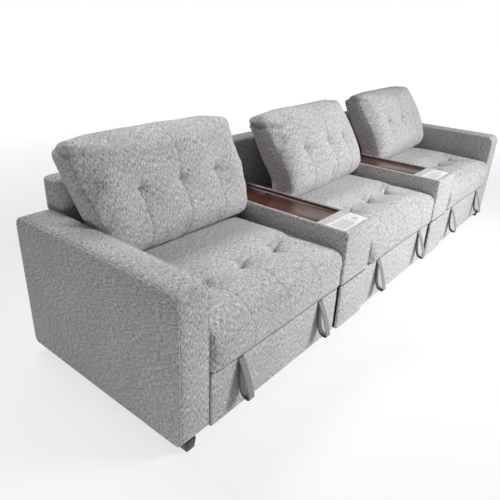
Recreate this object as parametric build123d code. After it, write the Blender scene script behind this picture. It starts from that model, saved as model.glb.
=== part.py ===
from build123d import *
import os

# Three-seat storage sofa: box arms, two consoles between the seats, a drawer under each seat.
# Millimetres. +X runs along the sofa, -Y is the front, Z is up from the floor.

# Driving dimensions: the frame
ARM_WIDTH = 140.0
ARM_DEPTH = 910.0
ARM_TOP = 630.0
ARM_CORNER = 45.0
SEAT_WIDTH = 830.0
SEAT_COUNT = 3
CONSOLE_WIDTH = 250.0
CONSOLE_TOP = 540.0
CONSOLE_FORWARD = 20.0
SEAT_HEIGHT = 280.0
BACK_TOP = 765.0
BACK_DEPTH = 110.0

# Driving dimensions: feet
FOOT_HEIGHT = 45.0
FOOT_TOP_SIDE = 46.0
FOOT_BOTTOM_SIDE = 36.0
FOOT_INSET_SIDE = 55.0
FOOT_INSET_FRONT = 26.0
FOOT_INSET_REAR = 52.0
CONSOLE_FOOT_INSET = 70.0

# Driving dimensions: boards and padding
ARM_PANEL = 14.0
ARM_BAND = 16.0
ARM_POST = 45.0
ARM_RAIL = 35.0
PANEL_ROUND = 6.0
BACK_PAD = 30.0
BACK_REAR_PANEL = 8.0
BACK_RAIL = 70.0
BACK_POST = 60.0
BACK_PAD_DROP = 60.0
BACK_ROUND = 24.0
DECK_BOARD = 18.0
CONSOLE_SIDE = 12.0
CONSOLE_BOARD = 14.0
CONSOLE_FRONT = 24.0
CONSOLE_ROUND = 8.0
CONSOLE_BASE = 18.0

# Driving dimensions: console top
TRAY_SETBACK = 168.0
TRAY_LIP = 6.0
TRAY_LIP_HEIGHT = 16.0
TRAY_FLOOR = 10.0
TRAY_BELOW_RIM = 4.0
BRIDGE_DEPTH = 44.0
CHARGER_PANEL = 8.0
CHARGER_BELOW_RIM = 1.5
DISC_DIAMETER = 70.0
DISC_THICK = 4.0
DISC_PROUD = 1.5
DISC_FROM_EDGE = 53.0
MODULE_WIDTH = 120.0
MODULE_DEPTH = 70.0

# Driving dimensions: drawers
DRAWER_FRONT_FORWARD = 4.0
DRAWER_FRONT = 22.0
DRAWER_DEPTH = 690.0
DRAWER_WALL = 12.0
DRAWER_FLOOR = 8.0
DRAWER_BOX_LIFT = 25.0
DRAWER_BOX_HEIGHT = 165.0
SLIDE_SPACE = 16.0
SLIDE_BAR = 12.0
SLIDE_BAR_HEIGHT = 14.0
RAIL_BAR = 14.0
RAIL_BAR_HEIGHT = 16.0
RAIL_LENGTH = 700.0
RAIL_LIFT = 70.0

# Driving dimensions: pull straps, two to a drawer
STRAP_WIDTH = 34.0
STRAP_THICK = 2.4
STRAP_REACH = 65.0
STRAP_TAB = 16.0
STRAP_FALL = 168.0
STRAP_HEEL = 30.0
STRAP_HEEL_RISE = 16.0
STRAP_FROM_EDGE = 152.0

# Driving dimensions: cushions
SEAT_FORWARD = 20.0
SEAT_SHOULDER = 458.0
SEAT_CREST = 486.0
SEAT_REAR_TOP = 455.0
SEAT_NOSE = 62.0
SEAT_NOSE_FALL = 54.0
SEAT_REAR_FLAT = 215.0
SEAT_SIDE_FALL = 12.0
CUSHION_TOP = 950.0
CUSHION_TOP_BACK = 892.0
CUSHION_TOP_DEPTH = 118.0
CUSHION_BELLY = 292.0
CUSHION_BELLY_HEIGHT = 560.0
CUSHION_WAIST_HEIGHT = 735.0
CUSHION_WAIST = 250.0
CUSHION_FOOT = 205.0
CUSHION_HEEL = 125.0
CUSHION_HIP_HEIGHT = 715.0
CUSHION_SIDE_FALL = 24.0
CUSHION_REAR_FALL = 22.0
END_ROUND = 46.0
END_DROP = 26.0
END_DRAW = 16.0
TUFT_SPACING = 212.0
TUFT_COUNT = 3
TUFT_SETBACK = 220.0
TUFT_RADIUS = 62.0
TUFT_DEPTH = 17.0

# Clearances
PANEL_GAP = 3.0
TOP_GAP = 6.0
SOFT_GAP = 0.4
RUNNING_GAP = 0.4
CHARGER_GAP = 0.5
DECK_GAP = 6.0

# Derived places
LENGTH = 2 * ARM_WIDTH + SEAT_COUNT * SEAT_WIDTH + (SEAT_COUNT - 1) * CONSOLE_WIDTH
INNER = LENGTH / 2 - ARM_WIDTH
FRONT = (STRAP_REACH - ARM_DEPTH) / 2
REAR = FRONT + ARM_DEPTH
BACK_FRONT = REAR - BACK_DEPTH
PITCH = SEAT_WIDTH + CONSOLE_WIDTH
SEAT_CENTRES = [(i - (SEAT_COUNT - 1) / 2) * PITCH for i in range(SEAT_COUNT)]
CONSOLE_CENTRES = [x + PITCH / 2 for x in SEAT_CENTRES[:-1]]
CONSOLE_FACE = FRONT - CONSOLE_FORWARD
CONSOLE_INSIDE = CONSOLE_FACE + CONSOLE_FRONT
TRAY_FRONT = CONSOLE_FACE + TRAY_SETBACK
TRAY_TOP = CONSOLE_TOP - TRAY_BELOW_RIM
CONSOLE_DECK_TOP = TRAY_TOP - TRAY_LIP_HEIGHT - TRAY_FLOOR
DRAWER_FACE = FRONT - DRAWER_FRONT_FORWARD
DRAWER_INSIDE = DRAWER_FACE + DRAWER_FRONT
DRAWER_TOP = SEAT_HEIGHT - TOP_GAP

os.makedirs("parts", exist_ok=True)


def block(x0, x1, y0, y1, z0, z1):
    corner = (Align.MIN, Align.MIN, Align.MIN)
    return Pos(x0, y0, z0) * Box(x1 - x0, y1 - y0, z1 - z0, align=corner)


def save(name, *solids):
    shape = solids[0] if len(solids) == 1 else Compound(children=list(solids))
    export_step(shape, f"parts/{name}.step")


# Arms
def arm_outline(x):
    low, high, r = FOOT_HEIGHT, ARM_TOP, ARM_CORNER
    lean = r * (1 - 0.5 ** 0.5)
    return Wire([
        Line((x, FRONT, low), (x, FRONT, high - r)),
        ThreePointArc((x, FRONT, high - r), (x, FRONT + lean, high - lean), (x, FRONT + r, high)),
        Line((x, FRONT + r, high), (x, REAR - r, high)),
        ThreePointArc((x, REAR - r, high), (x, REAR - lean, high - lean), (x, REAR, high - r)),
        Line((x, REAR, high - r), (x, REAR, low)),
        Line((x, REAR, low), (x, FRONT, low)),
    ])


def arm_slab(x0, x1):
    return extrude(Face(arm_outline(x0)), amount=x1 - x0, dir=(1, 0, 0))


def arm_panel(x_face, x_skin):
    slab = arm_slab(min(x_face, x_skin), max(x_face, x_skin))
    skin = slab.faces().sort_by(Axis.X)[-1 if x_skin > x_face else 0]
    return fillet(skin.edges(), PANEL_ROUND)


def arm(side, sign):
    outer = sign * LENGTH / 2
    inner = sign * INNER
    band_outer = outer - sign * ARM_PANEL
    band_inner = inner + sign * ARM_PANEL
    low, high = min(band_outer, band_inner), max(band_outer, band_inner)
    y0, y1 = FRONT + ARM_BAND, REAR - ARM_BAND
    z0, z1 = FOOT_HEIGHT, ARM_TOP - ARM_BAND
    save(f"arm_{side}_band", arm_slab(low, high) - block(low, high, y0, y1, z0, z1))
    save(f"arm_{side}_outer_panel", arm_panel(band_outer, outer))
    save(f"arm_{side}_inner_panel", arm_panel(band_inner, inner))
    save(
        f"arm_{side}_frame",
        block(low, high, y0, y0 + ARM_POST, z0, z1),
        block(low, high, y1 - ARM_POST, y1, z0, z1),
        block(low, high, y0 + ARM_POST, y1 - ARM_POST, z0, z0 + ARM_RAIL),
        block(low, high, y0 + ARM_POST, y1 - ARM_POST, z1 - ARM_RAIL, z1),
    )


# Back
def back():
    pad_top = BACK_TOP - BACK_PAD
    frame_front, frame_rear = BACK_FRONT + BACK_PAD, REAR - BACK_REAR_PANEL
    cap = block(-INNER, INNER, BACK_FRONT, REAR, pad_top, BACK_TOP)
    cap = fillet(cap.edges().filter_by(Axis.X).group_by(Axis.Z)[-1], BACK_ROUND)
    save("back_top_pad", cap)
    save("back_front_pad", block(-INNER, INNER, BACK_FRONT, frame_front, SEAT_HEIGHT - BACK_PAD_DROP, pad_top))
    save("back_rear_panel", block(-INNER, INNER, frame_rear, REAR, FOOT_HEIGHT, pad_top))
    rails = [
        block(-INNER, INNER, frame_front, frame_rear, FOOT_HEIGHT, FOOT_HEIGHT + BACK_RAIL),
        block(-INNER, INNER, frame_front, frame_rear, pad_top - BACK_RAIL, pad_top),
    ]
    centres = [-INNER + BACK_POST / 2, *CONSOLE_CENTRES, INNER - BACK_POST / 2]
    posts = [
        block(x - BACK_POST / 2, x + BACK_POST / 2, frame_front, frame_rear,
              FOOT_HEIGHT + BACK_RAIL, pad_top - BACK_RAIL)
        for x in centres
    ]
    save("back_frame", *rails, *posts)


# Feet: tapered square legs
def foot(x, y):
    top = Pos(x, y, FOOT_HEIGHT) * Rectangle(FOOT_TOP_SIDE, FOOT_TOP_SIDE)
    bottom = Pos(x, y, 0) * Rectangle(FOOT_BOTTOM_SIDE, FOOT_BOTTOM_SIDE)
    return loft([bottom, top], ruled=True)


def feet():
    arm_x = LENGTH / 2 - FOOT_INSET_SIDE
    front_y, rear_y = FRONT + FOOT_INSET_FRONT, REAR - FOOT_INSET_REAR
    save("arm_feet", *[foot(x, y) for x in (-arm_x, arm_x) for y in (front_y, rear_y)])
    console_y = (CONSOLE_INSIDE + CONSOLE_FOOT_INSET, BACK_FRONT - CONSOLE_FOOT_INSET)
    save("console_feet", *[foot(x, y) for x in CONSOLE_CENTRES for y in console_y])


# Consoles
def console(number, centre):
    left, right = centre - CONSOLE_WIDTH / 2, centre + CONSOLE_WIDTH / 2
    in_left, in_right = left + CONSOLE_SIDE, right - CONSOLE_SIDE
    save(
        f"console_sides_{number}",
        block(left, in_left, CONSOLE_INSIDE, BACK_FRONT, FOOT_HEIGHT, CONSOLE_TOP),
        block(in_right, right, CONSOLE_INSIDE, BACK_FRONT, FOOT_HEIGHT, CONSOLE_TOP),
    )
    upper = block(left, right, CONSOLE_FACE, CONSOLE_INSIDE, SEAT_HEIGHT, CONSOLE_TOP)
    face_edges = upper.faces().sort_by(Axis.Y)[0].edges()
    save(f"console_front_{number}", fillet(face_edges, CONSOLE_ROUND))
    kick = block(left, right, CONSOLE_FACE, CONSOLE_INSIDE, FOOT_HEIGHT, DRAWER_TOP)
    kick_edges = kick.faces().sort_by(Axis.Y)[0].edges()
    save(f"console_kick_{number}", fillet(kick_edges, CONSOLE_ROUND))
    base_top = FOOT_HEIGHT + CONSOLE_BASE
    save(f"console_base_{number}", block(in_left, in_right, CONSOLE_INSIDE, BACK_FRONT, FOOT_HEIGHT, base_top))
    deck_low = CONSOLE_DECK_TOP - CONSOLE_BOARD
    save(f"console_deck_{number}",
         block(in_left, in_right, CONSOLE_INSIDE, BACK_FRONT, deck_low, CONSOLE_DECK_TOP))
    bridge = block(in_left, in_right, TRAY_FRONT - BRIDGE_DEPTH, TRAY_FRONT, CONSOLE_DECK_TOP, CONSOLE_TOP)
    save(f"console_bridge_{number}", bridge)
    tray(number, in_left, in_right)
    charger(number, in_left, in_right)


def tray(number, left, right):
    floor_top = CONSOLE_DECK_TOP + TRAY_FLOOR
    lip_front, lip_rear = TRAY_FRONT + TRAY_LIP, BACK_FRONT - TRAY_LIP
    save(
        f"console_tray_{number}",
        block(left, right, TRAY_FRONT, BACK_FRONT, CONSOLE_DECK_TOP, floor_top),
        block(left, left + TRAY_LIP, TRAY_FRONT, BACK_FRONT, floor_top, TRAY_TOP),
        block(right - TRAY_LIP, right, TRAY_FRONT, BACK_FRONT, floor_top, TRAY_TOP),
        block(left + TRAY_LIP, right - TRAY_LIP, TRAY_FRONT, lip_front, floor_top, TRAY_TOP),
        block(left + TRAY_LIP, right - TRAY_LIP, lip_rear, BACK_FRONT, floor_top, TRAY_TOP),
    )


def charger(number, left, right):
    panel_rear = TRAY_FRONT - BRIDGE_DEPTH
    panel_top = CONSOLE_TOP - CHARGER_BELOW_RIM
    panel_low = panel_top - CHARGER_PANEL
    middle = (CONSOLE_INSIDE + panel_rear) / 2
    disc_x = right - DISC_FROM_EDGE
    disc_low = panel_top + DISC_PROUD - DISC_THICK
    up = (Align.CENTER, Align.CENTER, Align.MIN)
    well = Pos(disc_x, middle, disc_low) * Cylinder(DISC_DIAMETER / 2 + CHARGER_GAP, DISC_THICK, align=up)
    panel = block(left, right, CONSOLE_INSIDE, panel_rear, panel_low, panel_top) - well
    save(f"charger_panel_{number}", panel)
    disc = Pos(disc_x, middle, disc_low) * Cylinder(DISC_DIAMETER / 2, DISC_THICK, align=up)
    rim = disc.edges().filter_by(GeomType.CIRCLE).sort_by(Axis.Z)[-1]
    save(f"charger_disc_{number}", fillet(rim, DISC_PROUD / 2))
    module_left = (left + right - MODULE_WIDTH) / 2
    module_front = middle - MODULE_DEPTH / 2
    save(f"charger_module_{number}",
         block(module_left, module_left + MODULE_WIDTH, module_front, module_front + MODULE_DEPTH,
               CONSOLE_DECK_TOP, panel_low))


# Seats
def seat_deck(number, centre):
    left, right = centre - SEAT_WIDTH / 2, centre + SEAT_WIDTH / 2
    save(f"seat_deck_{number}",
         block(left, right, DRAWER_INSIDE + DECK_GAP, BACK_FRONT, SEAT_HEIGHT - DECK_BOARD, SEAT_HEIGHT))


# Stations along a cushion: places from its middle, and how far its rounded end has come, 0 to 1
def stations(half):
    ends = [(half - END_ROUND * d, 1 - (1 - (1 - d) ** 2) ** 0.5) for d in (0.0, 0.07, 0.25, 0.55, 1.0)]
    middle = [(half * share, 0.0) for share in (0.6, 0.3, 0.0)]
    right = ends + middle
    return [(-x, end) for x, end in right[:-1]] + [(x, end) for x, end in reversed(right)]


def seat_section(x, across, end):
    crown = SEAT_CREST - SEAT_SIDE_FALL * across ** 2 - END_DROP * end
    shoulder = SEAT_SHOULDER - END_DROP * end
    y0 = FRONT - SEAT_FORWARD + END_DRAW * end
    y1 = BACK_FRONT - SOFT_GAP
    z0 = SEAT_HEIGHT + SOFT_GAP
    nose = (x, y0, shoulder - SEAT_NOSE_FALL)
    lip = (x, y0 + SEAT_NOSE, shoulder)
    cheek = (x, y0 + 0.24 * SEAT_NOSE, shoulder - 0.22 * SEAT_NOSE_FALL)
    heel = (x, y1 - SEAT_REAR_FLAT, SEAT_REAR_TOP)
    top = (x, (lip[1] + heel[1]) / 2, crown)
    toe = (x, y0 + END_DRAW / 2, z0)
    belly = (x, y0 - END_DRAW / 8, (z0 + nose[2]) / 2)
    return Face(Wire([
        Line(toe, (x, y1, z0)),
        Line((x, y1, z0), (x, y1, SEAT_REAR_TOP)),
        Line((x, y1, SEAT_REAR_TOP), heel),
        ThreePointArc(heel, top, lip),
        ThreePointArc(lip, cheek, nose),
        ThreePointArc(nose, belly, toe),
    ]))


def back_section(x, across, end):
    fall = CUSHION_SIDE_FALL * across ** 2 + END_DRAW * end
    rear = CUSHION_REAR_FALL * across ** 2 + END_DRAW * end
    drop = SEAT_SIDE_FALL * across ** 2 + END_DROP * end
    y1 = BACK_FRONT - SOFT_GAP
    z0 = SEAT_REAR_TOP + SOFT_GAP
    foot_point = (x, y1 - CUSHION_FOOT + fall / 2, z0)
    heel = (x, y1 - CUSHION_HEEL - rear, z0)
    hip = (x, y1 - rear, CUSHION_HIP_HEIGHT)
    belly = (x, y1 - CUSHION_BELLY + fall, CUSHION_BELLY_HEIGHT)
    waist = (x, y1 - CUSHION_WAIST + fall, CUSHION_WAIST_HEIGHT)
    brow = (x, y1 - CUSHION_TOP_DEPTH + fall / 2, CUSHION_TOP - 0.4 * END_DROP - drop)
    nape = (x, y1 - rear, CUSHION_TOP_BACK - drop)
    crest = (x, (nape[1] + brow[1]) / 2, CUSHION_TOP - drop)
    shin = (x, belly[1] + 0.12 * CUSHION_WAIST, (belly[2] + z0) / 2 - 0.1 * CUSHION_FOOT)
    return Face(Wire([
        Line(foot_point, heel),
        Line(heel, hip),
        Line(hip, nape),
        ThreePointArc(nape, crest, brow),
        ThreePointArc(brow, waist, belly),
        ThreePointArc(belly, shin, foot_point),
    ]))


# Sewn tufts: a row of round dimples pressed into the cushion
def tuft_places(centre):
    return [centre + (i - (TUFT_COUNT - 1) / 2) * TUFT_SPACING for i in range(TUFT_COUNT)]


def cushion_pair(number, centre):
    half = SEAT_WIDTH / 2 - SOFT_GAP
    seat = loft([seat_section(centre + x, x / half, end) for x, end in stations(half)], ruled=True)
    back_rest = loft([back_section(centre + x, x / half, end) for x, end in stations(half)], ruled=True)
    for x in tuft_places(centre):
        across = ((x - centre) / half) ** 2
        press = TUFT_RADIUS - TUFT_DEPTH
        seat -= Pos(x, FRONT + TUFT_SETBACK, SEAT_CREST - SEAT_SIDE_FALL * across + press) * Sphere(TUFT_RADIUS)
        skin = BACK_FRONT - SOFT_GAP - CUSHION_WAIST + CUSHION_SIDE_FALL * across
        back_rest -= Pos(x, skin - press, CUSHION_WAIST_HEIGHT) * Sphere(TUFT_RADIUS)
    save(f"seat_cushion_{number}", seat)
    save(f"back_cushion_{number}", back_rest)


# Drawers
def drawer(number, centre):
    left, right = centre - SEAT_WIDTH / 2, centre + SEAT_WIDTH / 2
    panel = block(left + PANEL_GAP, right - PANEL_GAP, DRAWER_FACE, DRAWER_INSIDE, FOOT_HEIGHT, DRAWER_TOP)
    panel_edges = panel.faces().sort_by(Axis.Y)[0].edges()
    save(f"drawer_front_{number}", fillet(panel_edges, PANEL_ROUND))
    x0, x1 = left + SLIDE_SPACE, right - SLIDE_SPACE
    y0, y1 = DRAWER_INSIDE, DRAWER_INSIDE + DRAWER_DEPTH
    z0 = FOOT_HEIGHT + DRAWER_BOX_LIFT
    floor_top, z1 = z0 + DRAWER_FLOOR, z0 + DRAWER_BOX_HEIGHT
    wall = DRAWER_WALL
    save(
        f"drawer_box_{number}",
        block(x0, x1, y0, y1, z0, floor_top),
        block(x0, x0 + wall, y0, y1, floor_top, z1),
        block(x1 - wall, x1, y0, y1, floor_top, z1),
        block(x0 + wall, x1 - wall, y1 - wall, y1, floor_top, z1),
    )
    rail_rear = y0 + DECK_GAP + RAIL_LENGTH
    bar_low = z0 + RAIL_LIFT
    bar_high = bar_low + SLIDE_BAR_HEIGHT
    under = bar_low - RUNNING_GAP
    over = bar_high + RUNNING_GAP
    save(
        f"drawer_slides_{number}",
        block(x0 - SLIDE_BAR, x0, y0, y1, bar_low, bar_high),
        block(x1, x1 + SLIDE_BAR, y0, y1, bar_low, bar_high),
    )
    rails = []
    for inner, outer in ((left, left + RAIL_BAR), (right - RAIL_BAR, right)):
        rails.append(block(inner, outer, y0 + DECK_GAP, rail_rear, under - RAIL_BAR_HEIGHT, under))
        rails.append(block(inner, outer, y0 + DECK_GAP, rail_rear, over, over + RAIL_BAR_HEIGHT))
    save(f"drawer_rails_{number}", *rails)
    places = (left + STRAP_FROM_EDGE, right - STRAP_FROM_EDGE)
    save(f"drawer_straps_{number}", *[strap(x - STRAP_WIDTH / 2) for x in places])


# A webbing loop: a tab flat on the drawer front, two legs leaning out, a folded heel between them
def strap(x):
    top = DRAWER_TOP - PANEL_ROUND
    low = DRAWER_TOP - STRAP_FALL
    toe_y = FRONT - STRAP_REACH
    outer = Polyline(
        (x, DRAWER_FACE, top),
        (x, DRAWER_FACE, top - STRAP_TAB),
        (x, toe_y + STRAP_HEEL, low + STRAP_HEEL_RISE),
        (x, toe_y, low),
        (x, DRAWER_FACE - 2 * STRAP_THICK, top),
        close=True,
    )
    loop = Face(Wire(outer.edges()))
    hollow = offset(loop, -STRAP_THICK)
    return extrude(loop - hollow, amount=STRAP_WIDTH, dir=(1, 0, 0))


arm("left", -1)
arm("right", 1)
back()
feet()
for i, console_centre in enumerate(CONSOLE_CENTRES):
    console(i + 1, console_centre)
for i, seat_centre in enumerate(SEAT_CENTRES):
    seat_deck(i + 1, seat_centre)
    cushion_pair(i + 1, seat_centre)
    drawer(i + 1, seat_centre)
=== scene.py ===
import math

import bmesh
import bpy
import numpy as np
from mathutils import Matrix, Vector, noise
from mathutils.bvhtree import BVHTree


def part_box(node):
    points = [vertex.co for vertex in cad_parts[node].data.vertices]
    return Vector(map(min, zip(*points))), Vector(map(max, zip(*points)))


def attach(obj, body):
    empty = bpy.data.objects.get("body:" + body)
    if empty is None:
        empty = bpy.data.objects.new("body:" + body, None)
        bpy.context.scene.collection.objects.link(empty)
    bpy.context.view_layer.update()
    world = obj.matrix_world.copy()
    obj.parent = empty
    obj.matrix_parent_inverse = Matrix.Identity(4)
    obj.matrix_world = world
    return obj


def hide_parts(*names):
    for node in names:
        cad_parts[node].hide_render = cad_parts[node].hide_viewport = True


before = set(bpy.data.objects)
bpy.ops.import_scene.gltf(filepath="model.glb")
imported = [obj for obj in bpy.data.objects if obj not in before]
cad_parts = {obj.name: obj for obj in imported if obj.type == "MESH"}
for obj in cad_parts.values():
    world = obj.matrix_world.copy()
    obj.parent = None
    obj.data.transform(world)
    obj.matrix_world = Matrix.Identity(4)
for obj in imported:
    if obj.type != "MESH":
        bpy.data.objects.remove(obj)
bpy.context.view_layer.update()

scene = bpy.context.scene
print("frame loaded", len(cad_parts), "nodes")

# the places that most pieces share, read from the solids
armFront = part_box("arm_left_band")[0].y
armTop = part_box("arm_left_band")[1].z
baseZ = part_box("arm_left_band")[0].z
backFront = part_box("back_front_pad")[0].y


# shader helpers
def setValues(node, values):
    for key, value in values.items():
        node.inputs[key].default_value = value


def addNode(tree, kind, values=None, **settings):
    made = tree.nodes.new(kind)
    for key, value in settings.items():
        setattr(made, key, value)
    setValues(made, values or {})
    return made


def wire(out, into):
    into.id_data.links.new(out, into)


def freshMaterial(name):
    made = bpy.data.materials.new(name)
    made.use_nodes = True
    tree = made.node_tree
    return made, tree, tree.nodes["Principled BSDF"]


def objectPlace(tree):
    return addNode(tree, "ShaderNodeTexCoord").outputs["Object"]


def weavePlace(tree):
    return addNode(tree, "ShaderNodeUVMap", uv_map="weave").outputs["UV"]


def colourRamp(tree, source, stops):
    ramp = addNode(tree, "ShaderNodeValToRGB")
    while len(ramp.color_ramp.elements) < len(stops):
        ramp.color_ramp.elements.new(0.5)
    for element, (place, colour) in zip(ramp.color_ramp.elements, stops):
        element.position = place
        element.color = (*colour, 1.0)
    wire(source, ramp.inputs["Fac"])
    return ramp.outputs["Color"]


def mapRange(tree, source, values):
    made = addNode(tree, "ShaderNodeMapRange", values)
    wire(source, made.inputs["Value"])
    return made.outputs["Result"]


def stretchedNoise(tree, vector, scale, detail=2.0, roughness=0.5):
    mapping = addNode(tree, "ShaderNodeMapping", {"Scale": scale})
    wire(vector, mapping.inputs["Vector"])
    made = addNode(tree, "ShaderNodeTexNoise", {"Scale": 1.0, "Detail": detail, "Roughness": roughness})
    wire(mapping.outputs["Vector"], made.inputs["Vector"])
    return made.outputs["Fac"]


def mathNode(tree, operation, a, b):
    made = addNode(tree, "ShaderNodeMath", operation=operation)
    for socket, value in zip(made.inputs, (a, b)):
        if isinstance(value, (int, float)):
            socket.default_value = value
        else:
            wire(value, socket)
    return made.outputs["Value"]


def weighted(tree, sources, shares):
    parts = [mathNode(tree, "MULTIPLY", source, share) for source, share in zip(sources, shares)]
    return mathNode(tree, "ADD", *parts)


def bumpNode(tree, height, strength, distance, under=None):
    made = addNode(tree, "ShaderNodeBump", {"Strength": strength, "Distance": distance})
    wire(height, made.inputs["Height"])
    if under is not None:
        wire(under, made.inputs["Normal"])
    return made.outputs["Normal"]


heather = {
    "colours": ((0.20, 0.194, 0.196), (0.55, 0.54, 0.545), (0.86, 0.85, 0.855)),
    "stops": (0.18, 0.5, 0.82),
    "slub": (340.0, 58.0),    # streaks per metre across and along the yarn
    "fleck": (640.0, 105.0),
    "crisp": {"From Min": 0.36, "From Max": 0.64},
    "share": (0.78, 0.22),    # how much warp and weft show
    "blend": (0.55, 0.45),    # how much slub and fleck show
    "threads": {"Scale": 150.0, "Distortion": 1.2, "Detail": 1.0},
    "threadBump": (0.3, 0.0007),
    "yarnBump": (0.35, 0.0008),
    "mottle": 6.0,            # soft patches per metre, and how dark they are
    "mottleDark": (0.90, 0.90, 0.90),
    "surface": {"Roughness": 0.94, "Sheen Weight": 0.12, "Sheen Roughness": 0.5, "Specular IOR Level": 0.15},
}


def crossedYarn(tree, uv, rate):
    wide, long = rate
    parts = []
    for scale in ((wide, long, 1.0), (long, wide, 1.0)):
        streak = stretchedNoise(tree, uv, scale, 1.5, 0.55)
        parts.append(mapRange(tree, streak, heather["crisp"]))
    return weighted(tree, parts, heather["share"])


def heatherCloth(name):
    made, tree, shader = freshMaterial(name)
    uv = weavePlace(tree)
    yarns = [crossedYarn(tree, uv, heather[rate]) for rate in ("slub", "fleck")]
    yarn = weighted(tree, yarns, heather["blend"])
    colour = colourRamp(tree, yarn, list(zip(heather["stops"], heather["colours"])))
    patch = stretchedNoise(tree, objectPlace(tree), (heather["mottle"],) * 3, 3.0)
    shade = colourRamp(tree, patch, [(0.3, heather["mottleDark"]), (0.7, (1.0, 1.0, 1.0))])
    mix = addNode(tree, "ShaderNodeMix", {"Factor": 1.0}, data_type="RGBA", blend_type="MULTIPLY")
    wire(colour, mix.inputs["A"])
    wire(shade, mix.inputs["B"])
    wire(mix.outputs["Result"], shader.inputs["Base Color"])
    waves = []
    for direction in ("X", "Y"):
        wave = addNode(tree, "ShaderNodeTexWave", heather["threads"], bands_direction=direction)
        wire(uv, wave.inputs["Vector"])
        waves.append(wave.outputs["Fac"])
    normal = bumpNode(tree, mathNode(tree, "MULTIPLY", *waves), *heather["threadBump"])
    normal = bumpNode(tree, yarn, *heather["yarnBump"], normal)
    wire(normal, shader.inputs["Normal"])
    setValues(shader, heather["surface"])
    return made


def seamThread(name, dark, light):
    made, tree, shader = freshMaterial(name)
    twist = stretchedNoise(tree, objectPlace(tree), (260.0,) * 3)
    wire(colourRamp(tree, twist, [(0.3, dark), (0.7, light)]), shader.inputs["Base Color"])
    wire(bumpNode(tree, twist, 0.4, 0.0005), shader.inputs["Normal"])
    setValues(shader, {"Roughness": 0.95})
    return made


def webbingCloth(name, dark, light):
    made, tree, shader = freshMaterial(name)
    uv = weavePlace(tree)
    rib = addNode(tree, "ShaderNodeTexWave", {"Scale": 95.0, "Distortion": 0.6}, bands_direction="X")
    wire(uv, rib.inputs["Vector"])
    fleck = stretchedNoise(tree, uv, (500.0, 120.0, 1.0))
    both = mathNode(tree, "ADD", mathNode(tree, "MULTIPLY", rib.outputs["Fac"], 0.35), fleck)
    wire(colourRamp(tree, both, [(0.35, dark), (0.9, light)]), shader.inputs["Base Color"])
    wire(bumpNode(tree, both, 0.5, 0.0008), shader.inputs["Normal"])
    setValues(shader, {"Roughness": 0.85, "Sheen Weight": 0.2})
    return made


grain = {
    "figure": (28.0, 1.6),    # streaks per metre across and along the wood
    "pores": (260.0, 9.0),
    "blend": (0.75, 0.25),
    "stops": (0.34, 0.5, 0.68),
    "bump": (0.25, 0.0006),
}


def grainWood(name, along, colours, gloss, coat=0.0):
    made, tree, shader = freshMaterial(name)
    place = objectPlace(tree)
    scales = []
    for across, lengthways in (grain["figure"], grain["pores"]):
        scale = [across, across, across]
        scale[along] = lengthways
        scales.append(scale)
    figure = stretchedNoise(tree, place, scales[0], 4.0, 0.62)
    pores = stretchedNoise(tree, place, scales[1])
    both = weighted(tree, (figure, pores), grain["blend"])
    wire(colourRamp(tree, both, list(zip(grain["stops"], colours))), shader.inputs["Base Color"])
    polish = mapRange(tree, pores, {"To Min": gloss - 0.06, "To Max": gloss + 0.1})
    wire(polish, shader.inputs["Roughness"])
    wire(bumpNode(tree, both, *grain["bump"]), shader.inputs["Normal"])
    setValues(shader, {"Coat Weight": coat, "Coat Roughness": 0.08})
    return made


def mouldedPlastic(name, colour, rough, speckRate):
    made, tree, shader = freshMaterial(name)
    speck = stretchedNoise(tree, objectPlace(tree), (speckRate,) * 3)
    low = [c * 0.95 for c in colour]
    wire(colourRamp(tree, speck, [(0.3, low), (0.7, colour)]), shader.inputs["Base Color"])
    spread = mapRange(tree, speck, {"To Min": rough - 0.04, "To Max": rough + 0.06})
    wire(spread, shader.inputs["Roughness"])
    wire(bumpNode(tree, speck, 0.12, 0.0004), shader.inputs["Normal"])
    return made


cloth = heatherCloth("heatherCloth")
thread = seamThread("seamThread", (0.20, 0.196, 0.197), (0.34, 0.333, 0.335))
weltThread = seamThread("weltThread", (0.15, 0.147, 0.148), (0.27, 0.264, 0.266))
# near-black cloth used as painted shade: on the hidden sides of the drawer and kick panels, under the seats'
# front edges and over the seat boards' front edges
paintedShadeCloth = seamThread("paintedShadeCloth", (0.012, 0.012, 0.012), (0.030, 0.029, 0.029))
webbing = webbingCloth("webbing", (0.14, 0.137, 0.136), (0.34, 0.334, 0.330))
# a darker copy of the webbing for the inside of the strap loops: painted shade
webbingPaintedShade = webbingCloth("webbingPaintedShade", (0.07, 0.069, 0.068), (0.19, 0.186, 0.184))
woods = {    # the axis of the grain, dark, middle and light colour, roughness and lacquer
    "walnut": (1, ((0.028, 0.007, 0.004), (0.080, 0.022, 0.011), (0.145, 0.047, 0.026)), 0.22, 0.5),
    "footWood": (2, ((0.020, 0.010, 0.007), (0.055, 0.026, 0.017), (0.10, 0.05, 0.034)), 0.4),
    "timber": (2, ((0.36, 0.23, 0.12), (0.50, 0.34, 0.19), (0.62, 0.45, 0.28)), 0.6),
    "plywood": (1, ((0.42, 0.29, 0.16), (0.56, 0.41, 0.25), (0.66, 0.51, 0.33)), 0.55),
    "runnerWood": (1, ((0.26, 0.15, 0.08), (0.38, 0.24, 0.13), (0.48, 0.32, 0.19)), 0.5),
}
walnut, footWood, timber, plywood, runnerWood = [grainWood(name, *look) for name, look in woods.items()]
panelPlastic = mouldedPlastic("panelPlastic", (0.80, 0.795, 0.81), 0.42, 900.0)
padPlastic = mouldedPlastic("padPlastic", (0.60, 0.60, 0.625), 0.28, 700.0)
discPlastic = mouldedPlastic("discPlastic", (0.86, 0.87, 0.89), 0.2, 500.0)
discCentre = mouldedPlastic("discCentre", (0.55, 0.60, 0.68), 0.22, 500.0)
housingPlastic = mouldedPlastic("housingPlastic", (0.03, 0.03, 0.03), 0.5, 800.0)
print("materials made")


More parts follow.
